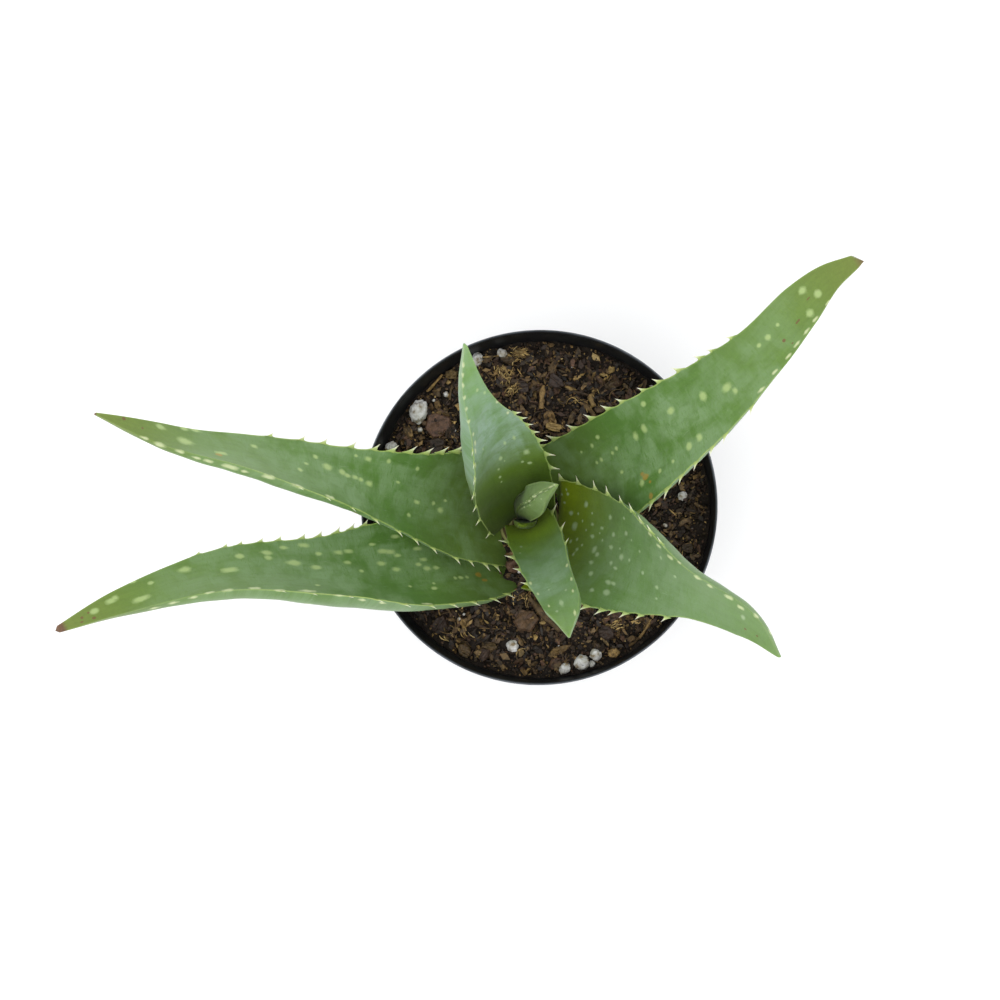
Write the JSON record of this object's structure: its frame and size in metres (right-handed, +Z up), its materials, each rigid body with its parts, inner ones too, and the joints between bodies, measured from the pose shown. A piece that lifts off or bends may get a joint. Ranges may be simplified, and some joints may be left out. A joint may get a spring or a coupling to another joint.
{
  "type": "potted aloe plant",
  "caption": "Young aloe in a round black nursery pot: a loose rosette of thick, spotted, toothed grey-green leaves growing from bark and perlite potting mix.",
  "frame": {"origin": "middle of the pot's flat underside, which stands on z = 0", "axes": "+Z up out of the pot, +X along the plant's long spread, from the western leaves to the eastern ones, +Y towards the tip of the tall northern leaf"},
  "size_m": [0.2254, 0.115, 0.1981],
  "materials": {
    "pot": "satin",
    "mix": "matte",
    "stem": "matte",
    "leaf": "satin",
    "young_leaf": "satin"
  },
  "bodies": {
    "root": {"pot": "pot", "soil": "mix", "stem": "stem", "leaf_heart": "young_leaf", "leaf_bud": "young_leaf", "leaf_south": "leaf", "leaf_north": "leaf", "leaf_southeast": "leaf", "leaf_west": "leaf", "leaf_northeast": "leaf", "leaf_southwest": "leaf"}
  },
  "joints": []
}
